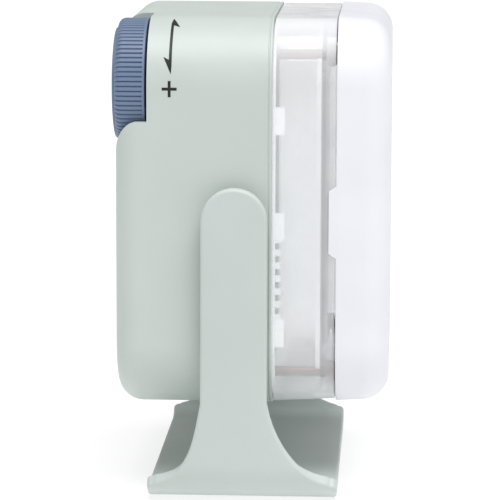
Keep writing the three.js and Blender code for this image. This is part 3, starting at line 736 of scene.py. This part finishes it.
def make_finger_tab(full_x):
    """A chamfered tab that stands rearwards from the cover's edge."""
    reach, chamfer, half = 2.5 * MM, 1.8 * MM, 12.7 * MM
    root, tip = full_x + 1.4 * MM, full_x - reach
    z = PIVOT.z - 0.8 * MM
    upper = [(tip, half - chamfer), (full_x, half), (root, half)]
    lower = [(x, -up) for x, up in upper[::-1]]
    outline = [(x, z + up) for x, up in lower + upper]
    skin = 0.42 * MM
    return prism("tab", outline, "y", -COVER_HIGH.y + 0.001 * MM, -COVER_HIGH.y + skin)


# ---- setting wheel ----
RIDGES = 84
RIDGE_STEPS = 10  # points round one ridge
KNURL_DEPTH = 0.6
DISC_SHARE = 0.85  # radius of the raised rear disc, as a share of the wheel's


def groove(turn):
    """Depth of the knurling, 0 on a ridge to 1 in a groove, at a share of a ridge's pitch."""
    away = abs(turn - 0.5) * 2  # 0 in the middle of the groove
    return 0 if away > 0.42 else (1 + math.cos(math.pi * away / 0.42)) / 2


def wheel_profile(length, radius):
    """Millimetres along the axis from the rear face, radius, and depth of the knurling from 0 to 1."""
    disc = radius * DISC_SHARE
    centre = [(1.9, 0.5), (1.9, 8.2), (1.5, 8.55), (-0.75, 8.6)]
    lip = [(-0.95, 8.8), (-0.6, 9.6), (-0.25, 12), (-0.25, 15.5)]
    slope = [(-0.7, 18), (-1.05, disc - 0.5), (-0.95, disc - 0.12)]
    step = [(-0.7, disc), (-0.1, disc + 0.02), (0, disc + 0.2)]
    profile = [(along, r, 0) for along, r in centre + lip + slope + step]
    edge, steps = 2.4, 8
    for i in range(steps + 1):
        a = i / steps * math.pi / 2
        depth = min(1, 0.12 + i / 4)
        profile.append((edge * (1 - math.cos(a)), radius - edge * (1 - math.sin(a)), depth))
    profile.append((length - 0.95, radius, 1))
    band = [(-0.85, radius), (-0.15, radius), (0, radius - 0.15)]
    stem = [(0, 3.4), (0.2, 3.0), (9.2, 3.0), (9.5, 2.6)]
    return profile + [(length + along, r, 0) for along, r in band + stem]


def make_wheel():
    rear = CASE_LOW.x
    profile = wheel_profile((NOTCH_X - 0.9 * MM - rear) / MM, WHEEL_R / MM)
    count = RIDGES * RIDGE_STEPS
    verts = []
    for along, radius, depth in profile:
        for k in range(count):
            a = 2 * math.pi * k / count
            r = (radius - KNURL_DEPTH * depth * groove((k % RIDGE_STEPS) / RIDGE_STEPS)) * MM
            verts.append((rear + along * MM, WHEEL.y + r * math.cos(a), WHEEL.z + r * math.sin(a)))
    faces = tube_faces(len(profile), count)
    faces.append(tuple(range(count))[::-1])
    faces.append(tuple(range((len(profile) - 1) * count, len(profile) * count)))
    wheel = add_mesh("knurled_wheel", verts, faces, BLUE, 38)
    return stand_for(wheel, "setting_wheel", "blue_wheel", "setting_wheel")


def make_wheel_cap():
    """Dished centre with a raised lip."""
    dish = [(2.0, 0.4), (1.95, 3.0), (1.7, 5.2), (1.25, 6.7), (0.5, 7.45), (0, 7.7)]
    lip = [(-0.03, 7.9), (0, 8.0), (0.12, 8.15), (0.35, 8.2), (2.9, 8.2)]
    profile = [(along * MM, r * MM) for along, r in dish + lip]
    cap = turned("wheel_centre", profile, (CAP_LOW.x, WHEEL.y, WHEEL.z), (1, 0, 0), BLUE, 96, 50)
    return stand_for(cap, "setting_wheel", "blue_wheel", "wheel_cap")


# ---- stand ----
ARM_THICK = 5 * MM
BEND = 13.5 * MM
ARM_HALF = 11.6 * MM
FLARE_Z = 36 * MM
TOE_Z = 6.5 * MM


def bezier(points, steps):
    made = []
    for i in range(steps + 1):
        t = i / steps
        made.append(tuple(
            (1 - t) ** 3 * a + 3 * (1 - t) ** 2 * t * b + 3 * (1 - t) * t * t * c + t ** 3 * d
            for a, b, c, d in zip(*points)))
    return made


def strip_place(s, w):
    """Y and Z of the strip at a length s from its middle, w in from its outer face."""
    base = STAND_LOW.z
    out = STAND_HIGH.y
    flat = out - BEND
    turn = BEND * math.pi / 2
    side = 1 if s >= 0 else -1
    s = abs(s)
    if s <= flat:
        y, z = s, base + w
    elif s <= flat + turn:
        a = (s - flat) / BEND
        y = flat + (BEND - w) * math.sin(a)
        z = base + BEND - (BEND - w) * math.cos(a)
    else:
        y, z = out - w, base + BEND + s - flat - turn
    return side * y, z


def height_to_length(z):
    """How far along the strip its outer face reaches a height."""
    base = STAND_LOW.z
    flat = STAND_HIGH.y - BEND
    if z >= base + BEND:
        return flat + BEND * math.pi / 2 + z - base - BEND
    return flat + BEND * math.acos(1 - (z - base) / BEND)


def flare(toe_x, sign):
    """The curve from a toe up to the arm's straight edge; sign is -1 at the rear and 1 at the front."""
    arm_x = PIVOT.x + sign * ARM_HALF
    reach, rise = (14 * MM, 2.5 * MM) if sign < 0 else (10 * MM, 1.5 * MM)
    return bezier([
        (toe_x, TOE_Z),
        (toe_x - sign * reach, TOE_Z + rise),
        (arm_x + sign * 3 * MM, 19 * MM),
        (arm_x, FLARE_Z),
    ], 22)


def strip_outline():
    """Half of the flat strip's outline, from the foot's middle up, as rear and front points (x, length)."""
    low, high = STAND_LOW.x, STAND_HIGH.x
    rows = []
    corner = 2.2 * MM
    inside = corner * 1.15  # the flare starts this far in from the toe's end
    edge_end = height_to_length(TOE_Z) - corner
    for i in range(13):
        s = edge_end * i / 12
        rows.append(((low, s), (high, s)))
    for i in range(1, 6):
        a = i / 5 * math.pi / 2
        by = corner * (1 - math.cos(a))
        s = edge_end + corner * math.sin(a)
        rows.append(((low + by, s), (high - by, s)))
    for rear, front in zip(flare(low, -1)[1:], flare(high, 1)[1:]):
        rear_x, front_x = max(rear[0], low + inside), min(front[0], high - inside)
        rows.append(((rear_x, height_to_length(rear[1])), (front_x, height_to_length(front[1]))))
    crest = height_to_length(PIVOT.z)
    start = rows[-1][0][1]
    for i in range(1, 10):
        s = start + (crest - start) * i / 9
        rows.append(((PIVOT.x - ARM_HALF, s), (PIVOT.x + ARM_HALF, s)))
    for i in range(1, 19):
        a = i / 18 * math.pi / 2
        x, s = ARM_HALF * math.cos(a), crest + ARM_HALF * math.sin(a)
        rows.append(((PIVOT.x - x, s), (PIVOT.x + x, s)))
    return rows


def inward_normals(loop):
    """For each point of a closed outline, the direction that moves it into the shape."""
    count = len(loop)
    area = sum(loop[i - 1][0] * loop[i][1] - loop[i][0] * loop[i - 1][1] for i in range(count))
    sign = 1 if area > 0 else -1
    normals = []
    for i in range(count):
        before, after = Vector(loop[i - 1]), Vector(loop[(i + 1) % count])
        along = (after - before).normalized()
        normals.append(Vector((-along.y, along.x)) * sign)
    return normals


def edge_levels():
    """Pairs of how far in the outline moves and how deep it lies, round both edges of the strip."""
    fillet, steps = 1.1 * MM, 5
    outer = []
    for i in range(steps + 1):
        a = i / steps * math.pi / 2
        outer.append((fillet * (1 - math.sin(a)), fillet * (1 - math.cos(a))))
    return outer + [(by, ARM_THICK - depth) for by, depth in outer[::-1]]


def make_stand():
    """The bent strip: its outline is moved in along its own normals to round both edges, then bent."""
    half = strip_outline()
    outline = [front for _, front in half] + [rear for rear, _ in half[-2::-1]]
    loop = outline + [(x, -s) for x, s in outline[-2:0:-1]]
    normals = inward_normals(loop)
    levels = edge_levels()
    rings = []
    for by, _ in levels:
        rings.append([Vector(point) + normal * by for point, normal in zip(loop, normals)])
    verts = []
    for ring, (_, depth) in zip(rings, levels):
        verts += [(x, *strip_place(s, depth)) for x, s in ring]
    faces = tube_faces(len(levels), len(loop))
    for level, flip in ((0, False), (len(levels) - 1, True)):
        fill_strip(verts, faces, rings[level], level * len(loop), levels[level][1], flip)
    strip = add_mesh("bent_stand", verts, faces)
    for side in (-1, 1):
        combine(strip, pivot_pin(side), "UNION")
    smooth(strip, 50)
    paint(strip, MINT_STAND)
    return stand_for(strip, "stand", "mint_stand", "yoke_stand")


def fill_strip(verts, faces, ring, base, depth, flip, columns=10):
    """Fills a broad face of the strip with rows of quads between the paired points of its outline."""
    def add(*corners):
        faces.append(corners[::-1] if flip else corners)

    count = len(ring)
    near = max(range(count), key=lambda i: ring[i].y)
    far = min(range(count), key=lambda i: ring[i].y)
    previous = None
    for k in range(1, (far - near) % count):
        front, rear = (near - k) % count, (near + k) % count
        row = [base + front]
        for c in range(1, columns):
            x, s = ring[front].lerp(ring[rear], c / columns)
            verts.append((x, *strip_place(s, depth)))
            row.append(len(verts) - 1)
        row.append(base + rear)
        for c in range(columns):
            if previous:
                add(previous[c], previous[c + 1], row[c + 1], row[c])
            else:
                add(base + near, row[c + 1], row[c])
        previous = row
    for c in range(columns):
        add(base + far, previous[c], previous[c + 1])


def pivot_pin(side):
    """Pin moulded on the arm's inner face, with a groove for its clip."""
    inner = HALF - 14.3 * MM
    reach = STAND_HIGH.y - ARM_THICK - inner  # from the pin's end to the arm
    r, groove_r = 3.8 * MM, 2.9 * MM
    collar = r + 0.8 * MM
    end = [(0, r - 0.4 * MM), (0.4 * MM, r)]
    clip_groove = [(0.41 * MM, groove_r), (1.6 * MM, groove_r), (1.61 * MM, r)]
    root = [(reach - 0.8 * MM, r), (reach, collar), (reach + 2 * MM, collar)]
    start = (PIVOT.x, side * inner, PIVOT.z)
    return turned("pin", end + clip_groove + root, start, (0, side, 0), segments=64)


# ---- case screws ----
SHANK_R = 1.9 * MM
THREAD_PITCH = 1.4 * MM
THREAD_TURNS = 8
THREAD_DEPTH = 0.42 * MM
CROSS_LONG, CROSS_WIDE, CROSS_DEEP = 1.9 * MM, 0.42 * MM, 1.5 * MM  # half lengths and depth of the recess


def shank_profile(under):
    """The tip, the thread and the plain shank up to the head, as distances from the tip and radii."""
    root = SHANK_R - THREAD_DEPTH
    profile = [(0, 0.3 * MM), (1.6 * MM, SHANK_R - 0.35 * MM)]
    for i in range(THREAD_TURNS):
        start = 2 * MM + i * THREAD_PITCH
        profile.append((start, root))
        profile.append((start + 0.45 * MM, SHANK_R))
        profile.append((start + 0.6 * MM, SHANK_R))
        profile.append((start + 1.05 * MM, root))
    plain = SHANK_R - 0.1 * MM
    profile += [(13.6 * MM, plain), (under - 1.2 * MM, plain)]
    return profile + [(under - 0.25 * MM, SHANK_R + 0.05 * MM), (under, SHANK_R + 0.15 * MM)]


def head_profile(under, head):
    """The pan head: a flat underside, a short side and a domed top."""
    side = head - 0.1 * MM
    profile = [(under + 0.02 * MM, head - 0.3 * MM), (under + 0.25 * MM, head), (under + 1.2 * MM, side)]
    for i in range(1, 6):
        a = i / 5 * math.pi / 2
        dome = under + 1.2 * MM + 1.28 * MM * math.sin(a)
        profile.append((dome, side - 2.2 * MM * (1 - math.cos(a))))
    return profile


def make_case_screw(index):
    """Pan-head screw with a cross recess, and a thread where it bites into the post."""
    low, high = SCREWS[index]
    y, z = screw_centres()[index]
    under = high.x - low.x - SCREW_HEAD
    profile = shank_profile(under) + head_profile(under, (high.z - low.z) / 2)
    screw = turned(f"pan_screw_{index + 1}", profile, (low.x, y, z), (1, 0, 0), None, 48, 45)
    for wide, tall in ((CROSS_WIDE, CROSS_LONG), (CROSS_LONG, CROSS_WIDE)):
        start = (high.x - CROSS_DEEP, y - wide, z - tall)
        cut = block("cross", start, (high.x + 1 * MM, y + wide, z + tall))
        combine(screw, cut, "DIFFERENCE")
    soften(screw, 0.08 * MM, 2)
    paint(screw, STEEL)
    return stand_for(screw, "head", "steel", f"case_screw_{index + 1}")


# ---- battery door ----
def make_battery_door():
    """Flush door with a softened edge and four ridges for a finger near its top."""
    face = DOOR_LOW.x + 0.6 * MM
    full = section(face, DOOR_HIGH.y, DOOR_LOW.z, DOOR_HIGH.z, 1.4 * MM)
    sections = eased_rim(full, 0.45 * MM, 0.15 * MM, 1) + [inset(full, 0, DOOR_HIGH.x)]
    door = loft("battery_lid", sections, steps=8)
    ridge_half, ridge_thick = 9 * MM, 0.5 * MM
    for i in range(4):
        z = DOOR_HIGH.z - (5.6 + i * 2.4) * MM
        start = (DOOR_LOW.x, -ridge_half, z - ridge_thick)
        ridge = block("ridge", start, (face + 0.3 * MM, ridge_half, z + ridge_thick))
        combine(door, ridge, "UNION")
    soften(door, 0.25 * MM)
    paint(door, MINT)
    return stand_for(door, "battery_door", "mint_case", "battery_door")


# ---- printed marks beside the wheel ----
def on_case(x, up):
    """A point on the casing's near side, a length up from the wheel's centre, round the corner."""
    lift = 0.03 * MM
    if up <= 0:
        return (x, -HALF - lift, WHEEL.z + up)
    a = up / CORNER
    r = CORNER + lift
    return (x, WHEEL.y - r * math.cos(a), WHEEL.z + r * math.sin(a))


def printed_shape(name, outline):
    """A flat outline of (x, up), cut into fine strips and laid on the casing."""
    mesh = bpy.data.meshes.new(name)
    bm = bmesh.new()
    corners = [bm.verts.new((x, up, 0)) for x, up in outline]
    bm.faces.new(corners)
    low = min(up for _, up in outline)
    high = max(up for _, up in outline)
    step = 0.6 * MM
    level = math.ceil(low / step) * step
    while level < high:
        everything = bm.verts[:] + bm.edges[:] + bm.faces[:]
        bmesh.ops.bisect_plane(bm, geom=everything, plane_co=(0, level, 0), plane_no=(0, 1, 0))
        level += step
    for v in bm.verts:
        v.co = on_case(v.co.x, v.co.y)
    bm.to_mesh(mesh)
    bm.free()
    obj = bpy.data.objects.new(name, mesh)
    bpy.context.scene.collection.objects.link(obj)
    thick = obj.modifiers.new("ink", "SOLIDIFY")
    thick.thickness = 0.035 * MM
    thick.offset = 0
    bake(obj)
    smooth(obj, 60)
    obj.data.materials.append(INK)
    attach(obj, "head")
    return obj


def plus_outline(x, up):
    """A plus sign round a centre, a little taller than it is wide."""
    arm, tall, stroke = 2.6 * MM, 2.8 * MM, 0.5 * MM
    quarter = [(arm, stroke), (stroke, stroke), (stroke, tall)]
    upper = quarter + [(-a, b) for a, b in quarter[::-1]]
    lower = [(-a, -b) for a, b in upper]
    return [(x + a, up + b) for a, b in upper + lower]


def arrow_outline(x, low, high):
    """A slim double-ended arrow with one barb at each end, leaning forwards a little."""
    half, lean = 0.47 * MM, 0.1 * MM
    top = x + lean
    return [
        (x + 0.3 * MM, low),
        (x + half + 0.05 * MM, low + 3 * MM),
        (top + half, high - 5.2 * MM),
        (top + 2.6 * MM, high - 6.4 * MM),
        (top + 0.1 * MM, high),
        (top - half, high - 4 * MM),
        (x - half, low + 5.2 * MM),
        (x - 2.4 * MM, low + 6.2 * MM),
    ]


def make_marks():
    x = CASE_LOW.x + 19.4 * MM
    printed_shape("printed_plus", plus_outline(x, 0.2 * MM))
    printed_shape("printed_arrow", arrow_outline(x + 0.2 * MM, 5.3 * MM, 31.4 * MM))


# ---- pieces kept from the CAD, with their finish ----
KEPT = {
    "backlight_panel": BACKLIGHT,
    "display_panel": DISPLAY,
    "main_board": BOARD,
    "sensor_board": BOARD,
}
# these white pieces take the painted glow of white_plastic
for plain in ("seam_gasket", "display_tray", "air_louvre", "battery_tray", "board_connector"):
    KEPT[plain] = WHITE
for plain in ("wheel_encoder", "buzzer", "air_sensor"):
    KEPT[plain] = DARK
for number in range(1, 5):
    KEPT[f"foot_pad_{number}"] = RUBBER
    KEPT[f"screw_washer_{number}"] = STEEL
    KEPT[f"board_screw_{number}"] = STEEL
for number in range(1, 4):
    KEPT[f"battery_{number}"] = SLEEVE
    KEPT[f"battery_spring_{number}"] = NICKEL
    KEPT[f"battery_contact_{number}"] = NICKEL
for place in ("near", "far"):
    KEPT[f"friction_washer_{place}"] = NYLON
    KEPT[f"pivot_bush_{place}"] = NYLON
    KEPT[f"pivot_clip_{place}"] = STEEL


def dress_kept_nodes():
    """Gives the CAD's own pieces their materials, and softens their edges by modifiers alone."""
    for name, material in KEPT.items():
        obj = nodes[name]
        paint(obj, material)
        smooth(obj)
        weld = obj.modifiers.new("weld", "WELD")
        weld.merge_threshold = 1e-6
        if "spring" not in name:
            edge = obj.modifiers.new("edge", "BEVEL")
            edge.width = 0.15 * MM
            edge.segments = 2
            edge.limit_method = "ANGLE"
            edge.angle_limit = math.radians(40)
        weights = obj.modifiers.new("normals", "WEIGHTED_NORMAL")
        weights.weight = 60


# ---- studio ----
WHITE_LIGHT = (1, 1, 1, 1)
SKY_STRENGTH = 0.42
FLOOR_HALF = 12  # metres
SENSOR = 36  # millimetres
FOCAL = 5.922  # focal length in picture widths
CAMERA_PLACE = Vector((53.2, -1074.8, 250.3)) * MM
PITCH, YAW, ROLL = 0.157, 0.052, -0.003  # down, towards the rear, and round the view, in radians


def sun_light(name, towards, power, spread):
    """A distant soft light: towards is the direction from the object to the light."""
    data = bpy.data.lights.new(name, "SUN")
    data.energy = power
    data.angle = math.radians(spread)
    obj = bpy.data.objects.new(name, data)
    obj.rotation_mode = "QUATERNION"
    obj.rotation_quaternion = (-Vector(towards)).to_track_quat("-Z", "Y")
    bpy.context.scene.collection.objects.link(obj)


def make_studio():
    world = bpy.data.worlds.new("studio")
    world.use_nodes = True
    background = world.node_tree.nodes["Background"]
    background.inputs["Color"].default_value = WHITE_LIGHT
    background.inputs["Strength"].default_value = SKY_STRENGTH
    bpy.context.scene.world = world
    corners = [(-1, -1), (1, -1), (1, 1), (-1, 1)]
    verts = [(x * FLOOR_HALF, y * FLOOR_HALF, 0) for x, y in corners]
    floor = add_mesh("floor", verts, [(0, 1, 2, 3)], studio_floor())
    sun_light("key", (0.15, -0.3, 0.94), 2.7, 50)


def make_camera():
    data = bpy.data.cameras.new("camera")
    data.sensor_width = SENSOR
    data.lens = SENSOR * FOCAL
    data.clip_start, data.clip_end = 0.05, 60
    obj = bpy.data.objects.new("camera", data)
    level = math.cos(PITCH)
    forward = Vector((-math.sin(YAW) * level, math.cos(YAW) * level, -math.sin(PITCH)))
    turn = Matrix.Rotation(-ROLL, 3, "Z").to_quaternion()
    obj.rotation_mode = "QUATERNION"
    obj.rotation_quaternion = forward.to_track_quat("-Z", "Y") @ turn
    obj.location = CAMERA_PLACE
    bpy.context.scene.collection.objects.link(obj)
    bpy.context.scene.camera = obj


def set_colours():
    bpy.context.scene.view_settings.view_transform = "Standard"
    bpy.context.scene.view_settings.look = "None"


make_casing()
make_clear_frame()
make_front_cover()
make_wheel()
make_wheel_cap()
make_stand()
for screw_index in range(4):
    make_case_screw(screw_index)
make_battery_door()
make_marks()
dress_kept_nodes()
make_studio()
make_camera()
set_colours()
